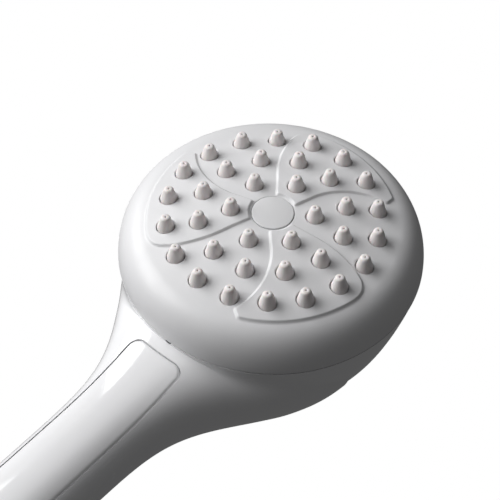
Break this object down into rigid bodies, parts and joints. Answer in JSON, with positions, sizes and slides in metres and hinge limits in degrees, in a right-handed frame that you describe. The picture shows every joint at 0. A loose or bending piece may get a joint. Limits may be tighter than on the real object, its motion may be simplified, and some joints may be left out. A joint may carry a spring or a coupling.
{
  "type": "handheld shower head",
  "caption": "Handheld shower head: round satin face with soft nozzles and swirled petals, gloss body narrowing to a straight handle with a threaded hose inlet.",
  "frame": {"origin": "centre of the end face of the hose inlet thread", "axes": "+X along the handle from the inlet to the head, +Z the way the spray face looks, +Y across the handle"},
  "size_m": [0.2305, 0.085, 0.0586],
  "materials": {
    "satin_shell": "satin moulded",
    "gloss_shell": "polished moulded",
    "soft_nozzle": "matte silicone",
    "inner_plastic": "moulded",
    "cartridge_plastic": "moulded",
    "seal_rubber": "matte",
    "stainless": "plain"
  },
  "bodies": {
    "shower_body": {"front_cover": "satin_shell", "body_shell": "gloss_shell", "handle_front_panel": "gloss_shell", "centre_cap": "satin_shell", "face_screw": "stainless", "face_screw_seal": "seal_rubber", "nozzle_mat": "soft_nozzle", "nozzle_plate": "inner_plastic", "flow_distributor": "inner_plastic", "water_chamber": "inner_plastic", "chamber_seal": "seal_rubber", "chamber_screws": "stainless", "waterway_tube": "inner_plastic", "tube_seal_upper": "seal_rubber", "tube_seal_lower": "seal_rubber", "inlet_connector": "inner_plastic", "connector_snap_ring": "stainless", "inlet_filter": "stainless", "regulator_body": "cartridge_plastic", "regulator_ring": "seal_rubber", "check_valve_body": "cartridge_plastic", "valve_guide": "cartridge_plastic", "valve_spring": "stainless"},
    "poppet": {"valve_poppet": "inner_plastic", "valve_seal": "seal_rubber"}
  },
  "joints": [
    {"name": "check_valve_slide", "type": "slide", "parent": "shower_body", "child": "poppet", "axis": [1, 0, 0], "range_m": [0, 0.0025], "stiffness_N_per_m": 80, "springref_m": -0.001, "deforming": ["valve_spring"]}
  ]
}
